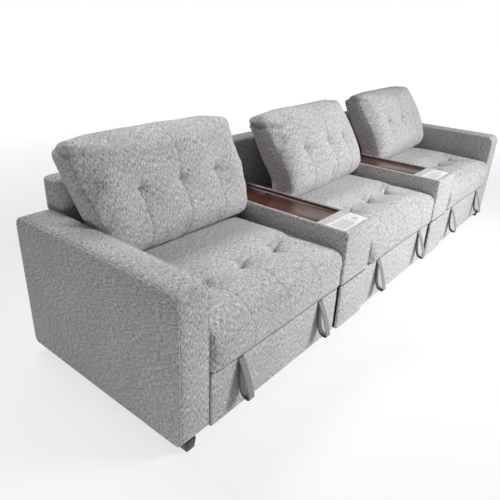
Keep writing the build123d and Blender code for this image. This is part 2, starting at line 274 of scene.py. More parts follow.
# mesh helpers
def blockMesh(low, high):
    bm = bmesh.new()
    bmesh.ops.create_cube(bm, size=1.0)
    bmesh.ops.scale(bm, vec=high - low, verts=bm.verts)
    bmesh.ops.translate(bm, vec=(low + high) / 2, verts=bm.verts)
    return bm


def madeVerts(result):
    return [v for v in result["geom"] if isinstance(v, bmesh.types.BMVert)]


def sinkFaces(bm, faces, depth):
    sunk = madeVerts(bmesh.ops.extrude_face_region(bm, geom=faces))
    bmesh.ops.delete(bm, geom=faces, context="FACES")
    bmesh.ops.translate(bm, vec=(0, 0, depth), verts=sunk)


def edgesOn(bm, test):
    return [e for e in bm.edges if test(e.verts[0].co) and test(e.verts[1].co)]


def edgesAlong(bm, axis):
    return [e for e in bm.edges if abs(e.verts[0].co[axis] - e.verts[1].co[axis]) > 0.01]


def roundEdges(bm, edges, radius, segments):
    bmesh.ops.bevel(bm, geom=edges, offset=radius, offset_type="OFFSET", affect="EDGES",
                    segments=segments, profile=0.5, material=-1, clamp_overlap=True)


def facesWithin(bm, low, high):
    # the faces that look up and have their middle between low and high
    found = []
    for f in bm.faces:
        middle = f.calc_center_median()
        if f.normal.z > 0.9 and low.x < middle.x < high.x and low.y < middle.y < high.y:
            found.append(f)
    return found


def cutAcross(bm, axis, places):
    normal = Vector((0, 0, 0))
    normal[axis] = 1.0
    for place in places:
        geom = bm.verts[:] + bm.edges[:] + bm.faces[:]
        bmesh.ops.bisect_plane(bm, geom=geom, plane_co=normal * place, plane_no=normal, dist=1e-5)


def spaced(low, high, step):
    count = max(1, round((high - low) / step))
    return [low + (high - low) * i / count for i in range(1, count)]


def puffUp(bm, low, high, bulge, wave, seed):
    # bulge holds how far the low and the high side of each axis swell
    centre, half = (low + high) / 2, (high - low) / 2
    bm.normal_update()
    moves = []
    for v in bm.verts:
        t = [(v.co[i] - centre[i]) / half[i] for i in range(3)]
        rise = Vector((0, 0, 0))
        for i in range(3):
            room = 1.0
            for j in range(3):
                if j != i:
                    room *= max(0.0, 1 - t[j] ** 2) ** 0.6
            side = bulge[i][1] if v.normal[i] > 0 else bulge[i][0]
            rise[i] = v.normal[i] * abs(v.normal[i]) * room * side
        ripple = noise.noise(v.co * 9.0 + Vector((seed, 0, 0))) * wave
        moves.append(rise + v.normal * ripple)
    for v, move in zip(bm.verts, moves):
        v.co += move


def linkPiece(name, mesh, *materials):
    piece = bpy.data.objects.new(name, mesh)
    scene.collection.objects.link(piece)
    for material in materials:
        mesh.materials.append(material)
    mesh.polygons.foreach_set("use_smooth", [True] * len(mesh.polygons))
    return piece


def pieceFrom(name, bm, *materials):
    mesh = bpy.data.meshes.new(name)
    bmesh.ops.recalc_face_normals(bm, faces=bm.faces)
    bm.to_mesh(mesh)
    bm.free()
    return linkPiece(name, mesh, *materials)


def readRows(items, key, wide, kind=float):
    rows = np.zeros(len(items) * wide, kind)
    items.foreach_get(key, rows)
    return rows.reshape(-1, wide)


def readPoints(mesh):
    return readRows(mesh.vertices, "co", 3)


def weaveUv(piece, sideTurn=False):
    # each face takes its two flat coordinates in metres; sideTurn lays the yarn of the sides lengthways
    mesh = piece.data
    layer = mesh.uv_layers.new(name="weave")
    corners = readRows(mesh.loops, "vertex_index", 1, int)[:, 0]
    normals = readRows(mesh.polygons, "normal", 3)
    totals = readRows(mesh.polygons, "loop_total", 1, int)[:, 0]
    facing = np.repeat(np.abs(normals).argmax(1), totals)
    across = np.array([2 if sideTurn else 1, 0, 0])[facing]
    along = np.array([1 if sideTurn else 2, 2, 1])[facing]
    rows = readPoints(mesh)[corners]
    each = np.arange(len(rows))
    uv = np.stack([rows[each, across], rows[each, along]], 1)
    layer.data.foreach_set("uv", uv.ravel())


def settle(piece, body, nodes=()):
    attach(piece, body)
    if nodes:
        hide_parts(*nodes)
    return piece


def surfaceTree(piece):
    return BVHTree.FromObject(piece, bpy.context.evaluated_depsgraph_get())


def castLine(tree, rays, lift=0.0004):
    points = []
    for origin, direction in rays:
        hit, normal, index, distance = tree.ray_cast(Vector(origin), Vector(direction))
        if hit is not None:
            points.append(hit + normal * lift)
    return points


def bakedMesh(holder):
    mesh = bpy.data.meshes.new_from_object(holder.evaluated_get(bpy.context.evaluated_depsgraph_get()))
    bpy.data.objects.remove(holder)
    return mesh


def tubeAlong(name, lines, radius, material=thread):
    curve = bpy.data.curves.new(name, "CURVE")
    curve.dimensions = "3D"
    curve.bevel_depth = radius
    curve.bevel_resolution = 2
    curve.use_fill_caps = True
    for line in lines:
        spline = curve.splines.new("POLY")
        spline.points.add(len(line) - 1)
        for point, place in zip(spline.points, line):
            point.co = (*place, 1.0)
    holder = bpy.data.objects.new(name + "Line", curve)
    scene.collection.objects.link(holder)
    mesh = bakedMesh(holder)
    mesh.materials.clear()
    settle(linkPiece(name, mesh, material), "sofa")


# arms: a padded box whose side panels are sewn to a band over front, top and rear
armStyle = {
    "corner": 0.043, "bottomCorner": 0.026, "edge": 0.0065, "drop": 0.0008,
    "seamFrom": 0.0115, "seamDeep": 0.0022, "seamWide": 0.0035,
    "outerBulge": 0.004, "frontBulge": 0.0036, "rearBulge": 0.002, "topBulge": 0.006, "ripple": 0.0006,
    "grid": 0.05, "bandGrid": 0.03, "weltRadius": 0.0012, "weltFrom": -62, "weltTurn": 304, "weltSteps": 160,
}


def armPiece(side, sign):
    low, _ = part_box(f"arm_{side}_outer_panel")
    _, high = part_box(f"arm_{side}_inner_panel")
    if sign > 0:
        low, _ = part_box(f"arm_{side}_inner_panel")
        _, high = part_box(f"arm_{side}_outer_panel")
    low = Vector((low.x, low.y, low.z - armStyle["drop"]))
    bm = blockMesh(low, high)
    lying = edgesAlong(bm, 0)
    roundEdges(bm, [e for e in lying if e.verts[0].co.z > armTop - 0.01], armStyle["corner"], 8)
    lying = edgesAlong(bm, 0)
    roundEdges(bm, [e for e in lying if e.verts[0].co.z < baseZ + 0.01], armStyle["bottomCorner"], 4)
    for x in (low.x, high.x):
        roundEdges(bm, edgesOn(bm, lambda p: abs(p.x - x) < 1e-5), armStyle["edge"], 4)
    seams = (low.x + armStyle["seamFrom"], high.x - armStyle["seamFrom"])
    wide = armStyle["seamWide"]
    cutAcross(bm, 0, [s + d for s in seams for d in (-wide, 0.0, wide)])
    cutAcross(bm, 0, spaced(*seams, armStyle["bandGrid"]))
    cutAcross(bm, 1, spaced(low.y + 0.05, high.y - 0.05, armStyle["grid"]))
    cutAcross(bm, 2, spaced(low.z + 0.02, high.z - 0.05, armStyle["grid"]))
    outer = (armStyle["outerBulge"], 0.0) if sign < 0 else (0.0, armStyle["outerBulge"])
    band = (armStyle["frontBulge"], armStyle["rearBulge"])
    puffUp(bm, low, high, (outer, band, (0.0, armStyle["topBulge"])), armStyle["ripple"], sign)
    bm.normal_update()
    for v in bm.verts:
        if min(abs(v.co.x - s) for s in seams) < 0.001 and v.co.z > low.z + 0.002:
            v.co -= v.normal * armStyle["seamDeep"]
    name = f"arm{side.capitalize()}Cover"
    piece = pieceFrom(name, bm, cloth)
    weaveUv(piece, True)
    nodes = [f"arm_{side}_{part}" for part in ("band", "outer_panel", "inner_panel")]
    settle(piece, "sofa", nodes)
    tree = surfaceTree(piece)
    centre = Vector((seams[0 if sign < 0 else 1], (low.y + high.y) / 2, (low.z + high.z) / 2))
    rays = []
    for i in range(armStyle["weltSteps"] + 1):
        angle = math.radians(armStyle["weltFrom"] + armStyle["weltTurn"] * i / armStyle["weltSteps"])
        reach = Vector((0.0, math.cos(angle) * 0.9, math.sin(angle) * 0.6))
        rays.append((centre + reach, -reach))
    tubeAlong(name + "Seam", [castLine(tree, rays)], armStyle["weltRadius"], weltThread)


armPiece("left", -1)
armPiece("right", 1)
print("arms covered")


# back: one long padded rest with rounded top
backStyle = {
    "round": 0.026, "edge": 0.009, "drop": 0.0006, "sideGap": 0.0006,
    "grid": 0.06, "rearBulge": 0.004, "topBulge": 0.003, "ripple": 0.0008,
    "lipFrom": 0.012, "lipTo": 0.002, "lipOut": 0.004,    # the ends widen over the arms' tops
    "seamDeep": 0.0025, "seamWide": 0.006, "seamRadius": 0.0014, "topSeam": 0.045,
}


def backPiece():
    low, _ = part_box("back_rear_panel")
    _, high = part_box("back_top_pad")
    low = Vector((low.x + backStyle["sideGap"], backFront, low.z - backStyle["drop"]))
    high = Vector((high.x - backStyle["sideGap"], high.y, high.z))
    bm = blockMesh(low, high)
    roundEdges(bm, edgesOn(bm, lambda p: p.z > high.z - 1e-5), backStyle["round"], 6)
    roundEdges(bm, edgesOn(bm, lambda p: p.y > high.y - 1e-5), backStyle["edge"], 3)
    seams = [sum(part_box(f"console_front_{number}"), Vector()).x / 2 for number in (1, 2)]
    wide = backStyle["seamWide"]
    lipFrom, lipTo = armTop - backStyle["lipFrom"], armTop - backStyle["lipTo"]
    cutAcross(bm, 0, spaced(low.x, high.x, backStyle["grid"]))
    cutAcross(bm, 0, [x + d for x in seams for d in (-wide, 0.0, wide)])
    cutAcross(bm, 2, spaced(low.z, high.z, backStyle["grid"]) + [lipFrom, lipTo])
    bulge = ((0.0, 0.0), (0.0, backStyle["rearBulge"]), (0.0, backStyle["topBulge"]))
    puffUp(bm, low, high, bulge, backStyle["ripple"], 5.0)
    bm.normal_update()
    for v in bm.verts:
        if min(abs(v.co.x - x) for x in seams) < 0.001 and v.normal.y > 0.5:
            v.co.y -= backStyle["seamDeep"]
        over = min(1.0, max(0.0, (v.co.z - lipFrom) / (lipTo - lipFrom)))
        if abs(v.co.x) > high.x - 0.03:
            v.co.x += math.copysign(backStyle["lipOut"] * over, v.co.x)
    piece = pieceFrom("backCover", bm, cloth)
    weaveUv(piece)
    settle(piece, "sofa", ("back_top_pad", "back_front_pad", "back_rear_panel"))
    tree = surfaceTree(piece)
    seamZ = high.z - backStyle["topSeam"]
    behind = high.y + 0.2
    rays = [((x, behind, seamZ), (0, -1, 0)) for x in np.linspace(low.x + 0.02, high.x - 0.02, 160)]
    lines = [castLine(tree, rays)]
    for x in seams:
        rays = [((x, behind, z), (0, -1, 0)) for z in np.linspace(seamZ, low.z + 0.004, 60)]
        lines.append(castLine(tree, rays))
    tubeAlong("backCoverSeam", lines, backStyle["seamRadius"])


backPiece()
print("back covered")


# cloth simulation for the cushions
def remeshed(bm, voxel):
    holder = pieceFrom("rawHolder", bm)
    modifier = holder.modifiers.new("voxels", "REMESH")
    modifier.mode = "VOXEL"
    modifier.voxel_size = voxel
    return bakedMesh(holder)


def writePoints(mesh, co):
    mesh.vertices.foreach_set("co", co.ravel())
    mesh.update()


def inflate(mesh, held, style):
    holder = linkPiece("clothHolder", mesh)
    group = holder.vertex_groups.new(name="held")
    group.add([int(i) for i in np.flatnonzero(held)], 1.0, "REPLACE")
    modifier = holder.modifiers.new("Cloth", "CLOTH")
    settings = modifier.settings
    settings.quality = 4
    settings.mass = 0.35
    settings.tension_stiffness = style["stiffness"]
    settings.compression_stiffness = style["stiffness"]
    settings.shear_stiffness = style["stiffness"] * 0.4
    settings.bending_stiffness = style["bending"]
    settings.use_pressure = True
    settings.uniform_pressure_force = style["pressure"]
    settings.shrink_min = style["slack"]
    settings.vertex_group_mass = "held"
    settings.effector_weights.gravity = 0.0
    modifier.point_cache.frame_start = 1
    modifier.point_cache.frame_end = style["frames"]
    for number in range(1, style["frames"] + 1):
        scene.frame_set(number)
    done = bakedMesh(holder)
    scene.frame_set(1)
    return done


def eased(mesh, co, share):
    a, b = readRows(mesh.edges, "vertices", 2, int).T
    count = np.bincount(np.concatenate([a, b]), minlength=len(co))[:, None]
    total = np.zeros_like(co)
    np.add.at(total, a, co[b])
    np.add.at(total, b, co[a])
    return co + share * (total / np.maximum(count, 1) - co)


def smoothStep(value, low, high):
    t = np.clip((value - low) / (high - low), 0, 1)
    return t * t * (3 - 2 * t)


def refined(mesh):
    holder = linkPiece("fineHolder", mesh)
    modifier = holder.modifiers.new("softening", "SUBSURF")
    modifier.levels = 1
    modifier.render_levels = 1
    done = bakedMesh(holder)
    return done, readPoints(done)


def readNormals(mesh):
    return readRows(mesh.vertices, "normal", 3)


def softPiece(name, mesh):
    piece = linkPiece(name, mesh, cloth)
    weaveUv(piece)
    return piece


tuftRow = {"count": 3, "spacing": 0.212, "hold": 0.013}


def tuftPlaces(centre):
    middle = (tuftRow["count"] - 1) / 2
    return [centre + (i - middle) * tuftRow["spacing"] for i in range(tuftRow["count"])]


def pinch(along, over, style):
    # a sewn point: a pit in a shallow hollow
    distance = np.hypot(along, over)
    depth = style["pit"] * np.exp(-(distance / style["pitWide"]) ** 2)
    return depth + style["hollow"] * np.exp(-(distance / style["hollowWide"]) ** 2)


creaseForm = {
    "curl": 0.28, "wobble": 0.003, "wobbleRate": 40.0, "dotWide": 0.010, "dotTall": 0.008,
    "pullTilt": 0.12, "pullWide": 0.006, "pullAbove": 0.026, "pullLong": 0.024,
}


def crease(along, over, seed, style):
    # fine folds at a sewn point: one that curls up at both ends, a pull above it and the stitch's dot
    form = creaseForm
    wobble = form["wobble"] * np.sin(form["wobbleRate"] * along + seed)
    bend = over - form["curl"] * np.abs(along) - wobble
    long = np.where(along < 0, *style["creaseLong"])
    wide = np.where(bend < 0, *style["creaseWide"])
    fold = np.exp(-(along / long) ** 2) * np.exp(-(bend / wide) ** 2)
    tilted = (along - form["pullTilt"] * over) / form["pullWide"]
    pull = np.exp(-tilted ** 2) * np.exp(-((over - form["pullAbove"]) / form["pullLong"]) ** 2)
    dot = np.exp(-((along / form["dotWide"]) ** 2 + (over / form["dotTall"]) ** 2))
    return style["crease"] * fold + style["pull"] * pull + style["dot"] * dot


def swell(mesh, co, held, style):
    swollen = inflate(mesh, held, style)
    moved = readPoints(swollen) - co
    length = np.linalg.norm(moved, axis=1, keepdims=True)
    return swollen, co + moved * np.minimum(1.0, style["cap"] / np.maximum(length, 1e-9))


noise.seed_set(5)    # without a seed, noise_vector changes from run to run


def ripple(co, rate, seed, amount):
    shift = Vector((seed, seed * 0.7, 0))
    return np.array([noise.noise_vector(Vector(p) * rate + shift)[:] for p in co]) * np.array(amount)


seatStyle = {
    "inset": 0.002, "frontGap": 0.006, "rearGap": 0.001, "shoulder": 0.452,
    "frontRound": 0.046, "sideRound": 0.014, "bottomRound": 0.006,
    "crown": 0.020, "heel": 0.60, "restTop": 0.4552,    # the heel is where the back cushion stands
    "tuftBack": 0.220, "pit": 0.024, "pitWide": 0.032, "hollow": 0.008, "hollowWide": 0.070,
    "crease": 0.017, "creaseLong": (0.020, 0.058), "creaseWide": (0.005, 0.008),
    "pull": 0.0015, "dot": 0.008, "groove": 0.0020, "grooveWide": 0.007,
    "plan": {1: (0.032, 0.014), 2: (0.014, 0.014), 3: (0.014, 0.014)},    # front corners, left and right
    "slit": {1: 0.0, 2: 0.046, 3: 0.046}, "slitReach": 0.13, "slitDeep": 0.075, "slitTop": 0.445,
    "voxel": 0.0095, "pressure": 1.6, "stiffness": 15.0, "bending": 1.0, "slack": -0.006, "frames": 16,
    "cap": 0.012, "easing": 0.35, "rippleRate": 6.0, "ripple": (0.0, 0.0015, 0.002),
    "seamRadius": 0.0006, "shadeLineRadius": 0.0022, "shadeLineUp": 0.0045,
}


def seatCushion(number):
    style = seatStyle
    low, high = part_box(f"seat_cushion_{number}")
    gap = style["inset"]
    start = Vector((low.x + gap, low.y + style["frontGap"], low.z))
    end = Vector((high.x - gap, high.y - style["rearGap"], style["shoulder"]))
    bm = blockMesh(start, end)
    brow = edgesOn(bm, lambda p: p.y < start.y + 1e-5 and p.z > end.z - 1e-5)
    roundEdges(bm, brow, style["frontRound"], 8)
    for x in (start.x, end.x):
        sides = edgesOn(bm, lambda p: abs(p.x - x) < 1e-5)
        sides = [e for e in sides if max(v.co.z for v in e.verts) > start.z + 0.01]
        roundEdges(bm, sides, style["sideRound"], 4)
    roundEdges(bm, edgesOn(bm, lambda p: p.z < start.z + 1e-5), style["bottomRound"], 3)
    mesh = remeshed(bm, style["voxel"])
    co = readPoints(mesh)
    centre, half = (low.x + high.x) / 2, (high.x - low.x) / 2
    across = np.clip((co[:, 0] - centre) / half, -1, 1)
    back = co[:, 1] - low.y
    onTop = smoothStep(co[:, 2], style["shoulder"] - 0.08, style["shoulder"] - 0.005)
    arch = np.sin(np.pi * np.clip(back / (style["heel"] + 0.09), 0, 1)) ** 0.7
    co[:, 2] += onTop * style["crown"] * (0.3 + 0.7 * (1 - across ** 2) ** 0.6) * arch
    tuftY = armFront + style["tuftBack"]
    held = co[:, 2] < low.z + 0.004
    seed = number * 1.7
    tufts = tuftPlaces(centre)
    for x in tufts:
        dx, dy = co[:, 0] - x, co[:, 1] - tuftY
        co[:, 2] -= onTop * pinch(dx, dy, style)
        held |= (np.hypot(dx, dy) < tuftRow["hold"]) & (onTop > 0.5)
    writePoints(mesh, co)
    mesh, co = swell(mesh, co, held, style)
    writePoints(mesh, co)
    mesh, co = refined(mesh)
    onTop = smoothStep(co[:, 2], style["shoulder"] - 0.06, style["shoulder"] - 0.01)
    onFront = 1 - smoothStep(co[:, 1], low.y + 0.02, low.y + 0.06)
    for i, x in enumerate(tufts):
        dx = co[:, 0] - x
        co[:, 2] -= onTop * crease(dx, co[:, 1] - tuftY, seed + i, style)
        groove = style["groove"] * np.exp(-(dx / style["grooveWide"]) ** 2) * (co[:, 1] < tuftY)
        co[:, 2] -= groove * onTop
        co[:, 1] += groove * onFront
    co = eased(mesh, co, style["easing"])
    co += ripple(co, style["rippleRate"], seed, style["ripple"])
    # the top stays flat behind the heel and may rise before it
    ceiling = style["restTop"] + smoothStep(low.y + style["heel"] - co[:, 1], 0.0, 0.035) * 0.06
    co[:, 2] = np.clip(co[:, 2], low.z, ceiling)
    for sign, plan in zip((-1, 1), style["plan"][number]):
        into = np.clip(plan - (co[:, 1] - low.y), 0, plan)
        edge = half - plan + np.sqrt(plan ** 2 - into ** 2)
        co[:, 0] = centre + sign * np.minimum(sign * (co[:, 0] - centre), edge)
    # the left front corner draws away from the console, most at the bottom
    near = np.clip(1 - (co[:, 0] - low.x) / style["slitReach"], 0, 1) ** 2
    taper = np.clip((style["slitTop"] - co[:, 2]) / (style["slitTop"] - low.z), 0, 1)
    fore = 1 - smoothStep(co[:, 1] - low.y, 0.0, style["slitDeep"])
    co[:, 0] += style["slit"][number] * near * taper * fore
    co[:, 1] = np.clip(co[:, 1], low.y - 0.006, high.y)
    writePoints(mesh, co)
    name = f"seatCushion{number}"
    piece = softPiece(name, mesh)
    settle(piece, "sofa", (f"seat_cushion_{number}",))
    tree = surfaceTree(piece)
    lines = []
    for x in tufts:
        rays = [((x, y, 0.7), (0, 0, -1)) for y in np.linspace(tuftY, low.y + 0.04, 40)]
        rays += [((x, low.y - 0.2, z), (0, 1, 0)) for z in np.linspace(0.43, low.z + 0.012, 24)]
        lines.append(castLine(tree, rays, 0.0001))
    tubeAlong(name + "Seams", lines, style["seamRadius"])
    # a near-black tube along the seat's lower front edge: a painted shadow line between seat and drawer
    shadeLineZ = low.z + style["shadeLineUp"]
    under = [((x, low.y - 0.2, shadeLineZ), (0, 1, 0)) for x in np.linspace(low.x + 0.016, high.x - 0.010, 80)]
    tubeAlong(name + "ShadeLine", [castLine(tree, under, 0.0)], style["shadeLineRadius"], paintedShadeCloth)
    return tree


# back cushions: each leans in its own way, given as depth from the back and height of its end section
restStyle = {
    "edge": 0.024, "corner": 0.034, "inset": 0.003, "lean": (0.50, 0.866), "rearBulge": 0.020,
    "tuftZ": 0.735, "pit": 0.019, "pitWide": 0.026, "hollow": 0.008, "hollowWide": 0.06,
    "crease": 0.005, "creaseLong": (0.022, 0.034), "creaseWide": (0.004, 0.012),
    "pull": 0.005, "dot": 0.006, "groove": 0.0034, "grooveWide": 0.007, "hump": 0.003, "crown": 0.008,
    "voxel": 0.0095, "pressure": 2.4, "stiffness": 14.0, "bending": 0.8, "slack": -0.007, "frames": 16,
    "cap": 0.022, "endHold": 0.35, "easing": 0.25, "rippleRate": 6.0, "ripple": (0.001, 0.003, 0.002),
    "tuckWide": 0.0075, "tuckTilt": 0.20, "fullness": 0.35, "fullUp": 0.022, "fullWide": 0.014,
    "seamRadius": 0.0009, "seamIn": 0.011,
}
restPlaces = {    # widen is for the left and right end, ear is the tuck's drop, reach and depth
    1: {
        "section": [
            (0.222, 0.466), (0.260, 0.505), (0.268, 0.555), (0.257, 0.625), (0.222, 0.735), (0.167, 0.834),
            (0.118, 0.938), (0.002, 0.905), (0.046, 0.768), (0.080, 0.680), (0.115, 0.590), (0.140, 0.464),
        ],
        "widen": (0.040, 0.004), "turn": 0.0, "bulge": 0.038,
        "tufts": (0.0, 0.0, 0.0), "ear": (0.045, 0.07, 0.011),
    },
    2: {
        "section": [
            (0.272, 0.466), (0.300, 0.510), (0.312, 0.560), (0.290, 0.630), (0.234, 0.730), (0.160, 0.838),
            (0.098, 0.912), (0.014, 0.876), (0.063, 0.772), (0.111, 0.674), (0.167, 0.577), (0.205, 0.464),
        ],
        "widen": (0.022, 0.000), "turn": 0.018, "bulge": 0.062,
        "tufts": (0.0, 0.035, 0.008), "ear": (0.065, 0.11, 0.016),
    },
    3: {
        "section": [
            (0.242, 0.466), (0.272, 0.510), (0.282, 0.560), (0.243, 0.647), (0.202, 0.728), (0.142, 0.820),
            (0.078, 0.914), (-0.016, 0.880), (0.018, 0.795), (0.062, 0.710), (0.150, 0.560), (0.180, 0.464),
        ],
        "widen": (0.022, 0.000), "turn": 0.010, "bulge": 0.074,
        "tufts": (0.0, 0.01, 0.01), "ear": (0.045, 0.07, 0.010),
    },
}


def frontShare(normal, sign):
    across, up = restStyle["lean"][1], restStyle["lean"][0]
    return smoothStep(sign * (normal[:, 1] * across - normal[:, 2] * up), 0.2, 0.7)


def backCushion(number, seatTree):
    style, place = restStyle, restPlaces[number]
    low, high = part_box(f"back_cushion_{number}")
    gap = style["inset"]
    bm = bmesh.new()
    outline = bm.faces.new([bm.verts.new((low.x + gap, high.y - depth, z)) for depth, z in place["section"]])
    ends = madeVerts(bmesh.ops.extrude_face_region(bm, geom=[outline]))
    bmesh.ops.translate(bm, vec=(high.x - low.x - 2 * gap, 0, 0), verts=ends)
    crest = edgesOn(bm, lambda p: p.z > 0.85)
    roundEdges(bm, [e for e in crest if abs(e.verts[0].co.x - e.verts[1].co.x) < 1e-5], style["corner"], 6)
    bmesh.ops.recalc_face_normals(bm, faces=bm.faces)
    roundEdges(bm, [e for e in bm.edges if e.calc_face_angle(0) > 0.7], style["edge"], 3)
    mesh = remeshed(bm, style["voxel"])
    co = readPoints(mesh)
    normal = readNormals(mesh)
    centre, half = (low.x + high.x) / 2, (high.x - low.x) / 2
    across = np.clip((co[:, 0] - centre) / half, -1, 1)
    up = np.clip((co[:, 2] - low.z) / (high.z - low.z), 0, 1)
    onFront, onRear = frontShare(normal, -1), frontShare(normal, 1)
    dome = (1 - across ** 4) ** 0.7 * np.sin(np.pi * np.clip(0.12 + 0.76 * up, 0, 1)) ** 0.6
    outward = np.array((0.0, -style["lean"][1], style["lean"][0] * 0.6))
    co += (onFront * dome * place["bulge"] - onRear * dome * style["rearBulge"])[:, None] * outward
    co[:, 1] += place["turn"] * across
    ridge = smoothStep(co[:, 2], 0.82, 0.90)
    co[:, 2] += ridge * (style["hump"] * np.sin(np.pi * across) ** 2 + style["crown"] * (1 - across ** 2))
    side = np.where(across < 0, place["widen"][0], place["widen"][1])
    co[:, 0] += np.sign(across) * np.abs(across) ** 2 * side * np.clip((co[:, 2] - 0.62) / 0.24, 0, 1)
    seed = 20 + number * 2.3
    held = co[:, 2] < low.z + 0.012
    tufts = [x + shift for x, shift in zip(tuftPlaces(centre), place["tufts"])]
    for x in tufts:
        dx, dz = co[:, 0] - x, co[:, 2] - style["tuftZ"]
        co[:, 1] += onFront * pinch(dx, dz, style)
        held |= (np.hypot(dx, dz) < tuftRow["hold"]) & (onFront > 0.5)
    writePoints(mesh, co)
    boxed = style["endHold"] * smoothStep(np.abs(across), 0.90, 1.0)[:, None]
    mesh, puffed = swell(mesh, co, held, style)
    co = puffed * (1 - boxed) + co * boxed
    writePoints(mesh, co)
    mesh, co = refined(mesh)
    normal = readNormals(mesh)
    onFront = frontShare(normal, -1)
    for i, x in enumerate(tufts):
        dx = co[:, 0] - x
        reach = 1.0 if i == 1 else (co[:, 2] < style["tuftZ"] + 0.01)
        groove = style["groove"] * np.exp(-(dx / style["grooveWide"]) ** 2) * reach
        co[:, 1] += onFront * (groove + crease(dx, co[:, 2] - style["tuftZ"], seed + i, style))
    # a tucked corner: one fold around the upper left end, and the fullness above it
    drop, reach, deep = place["ear"]
    inward = co[:, 0] - co[:, 0].min()
    slope = style["tuckTilt"] * (inward - 0.05) + 0.004 * np.sin(60 * inward)
    over = co[:, 2] - (co[:, 2].max() - drop) - slope
    fade = 1 - smoothStep(inward, reach * 0.55, reach)
    fold = np.exp(-(over / style["tuckWide"]) ** 2)
    full = style["fullness"] * np.exp(-((over - style["fullUp"]) / style["fullWide"]) ** 2)
    co -= (deep * (fold - full) * fade)[:, None] * normal
    co = eased(mesh, co, style["easing"])
    co += ripple(co, style["rippleRate"], seed, style["ripple"])
    side = np.where(co[:, 0] < centre, place["widen"][0], place["widen"][1])
    wide = (side + 0.006) * np.clip((co[:, 2] - 0.64) / 0.20, 0, 1)
    co[:, 0] = np.clip(co[:, 0], low.x - wide, high.x + wide)
    co[:, 1] = np.minimum(co[:, 1], high.y + 0.05 * smoothStep(co[:, 2], 0.775, 0.85))
    for i in np.flatnonzero(co[:, 2] < low.z + 0.09):
        hit = seatTree.ray_cast(Vector((co[i, 0], co[i, 1], 0.7)), Vector((0, 0, -1)))[0]
        co[i, 2] = max(co[i, 2], low.z, hit.z + 0.0006 if hit else low.z)
    writePoints(mesh, co)
    name = f"backCushion{number}"
    piece = softPiece(name, mesh)
    settle(piece, "sofa", (f"back_cushion_{number}",))
    tree = surfaceTree(piece)
    lines = []
    for i, x in enumerate(tufts):
        top = 0.93 if i == 1 else style["tuftZ"]
        rays = [((x, high.y - 0.6, z), (0, 1, 0)) for z in np.linspace(top, low.z + 0.03, 50)]
        lines.append(castLine(tree, rays, 0.0001))
    for sign, edge, extra in ((-1, low.x, place["widen"][0]), (1, high.x, place["widen"][1])):
        rays = []
        for z in np.linspace(place["section"][6][1] - 0.05, 0.50, 50):
            x = edge - sign * style["seamIn"] + sign * extra * float(np.clip((z - 0.62) / 0.24, 0, 1))
            rays.append(((x, high.y - 0.6, z), (0, 1, 0)))
        lines.append(castLine(tree, rays, 0.0001))
    tubeAlong(name + "Seams", lines, style["seamRadius"])


for number in (1, 2, 3):
    backCushion(number, seatCushion(number))
    print("cushions made for seat", number)


# consoles: a padded block with a tray well and a charger well in its top
consoleStyle = {
    "edge": 0.010, "grid": 0.045, "bulge": 0.003, "ripple": 0.0005, "rearGap": 0.0006, "skirtShadeLine": 0.002,
}


def consolePiece(number):
    low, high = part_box(f"console_front_{number}")
    sideLow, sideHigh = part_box(f"console_sides_{number}")
    trayLow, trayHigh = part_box(f"console_tray_{number}")
    panelLow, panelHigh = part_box(f"charger_panel_{number}")
    top = Vector((high.x, backFront - consoleStyle["rearGap"], high.z))
    bm = blockMesh(low, top)
    cutAcross(bm, 0, (trayLow.x, trayHigh.x))
    cutAcross(bm, 1, (panelLow.y, panelHigh.y, trayLow.y))
    bm.normal_update()
    for wellLow, wellHigh in ((panelLow, panelHigh), (trayLow, trayHigh)):
        lid = facesWithin(bm, wellLow, wellHigh)
        sinkFaces(bm, lid, wellLow.z - high.z)
    outer = edgesOn(bm, lambda p: min(abs(p.x - low.x), abs(p.x - high.x), abs(p.y - low.y)) < 1e-5)
    sharp = [e for e in outer if len(e.link_faces) == 2 and e.calc_face_angle(0) > 1.0]
    roundEdges(bm, sharp, consoleStyle["edge"], 4)
    cutAcross(bm, 1, spaced(low.y + 0.03, top.y - 0.01, consoleStyle["grid"]))
    cutAcross(bm, 2, spaced(low.z + 0.02, high.z - 0.05, consoleStyle["grid"]))
    bulge = ((0.0, 0.0), (consoleStyle["bulge"], 0.0), (0.0, 0.0))
    puffUp(bm, low, top, bulge, consoleStyle["ripple"], number)
    piece = pieceFrom(f"console{number}Cover", bm, cloth)
    weaveUv(piece)
    nodes = [f"console_{part}_{number}" for part in ("sides", "front", "bridge")]
    settle(piece, "sofa", nodes)
    for tag, x0, x1 in (("Left", sideLow.x, trayLow.x), ("Right", trayHigh.x, sideHigh.x)):
        rear = sideHigh.y - consoleStyle["rearGap"]
        board = blockMesh(Vector((x0, sideLow.y, sideLow.z)), Vector((x1, rear, low.z)))
        roundEdges(board, board.edges[:], consoleStyle["skirtShadeLine"], 2)
        skirt = pieceFrom(f"console{number}Skirt{tag}", board, cloth)
        weaveUv(skirt)
        settle(skirt, "sofa")


# kick and drawer panels: behind the depth the cloth reaches, their sides, top and back are near-black
# painted shade for the gaps between panels
kickStyle = {
    "edge": 0.007, "corner": 0.018, "grid": 0.04, "bulge": 0.004, "ripple": 0.0007,
    "trim": (0.0025, 0.003), "paintedShadeFrom": 0.009,    # taken off sides and top, and how deep the cloth reaches
}
drawerStyle = {
    "edge": 0.0055, "corner": 0.006, "grid": 0.045, "bulge": 0.0035, "ripple": 0.0007,
    "trim": (0.0, 0.0), "paintedShadeFrom": 0.016,
}


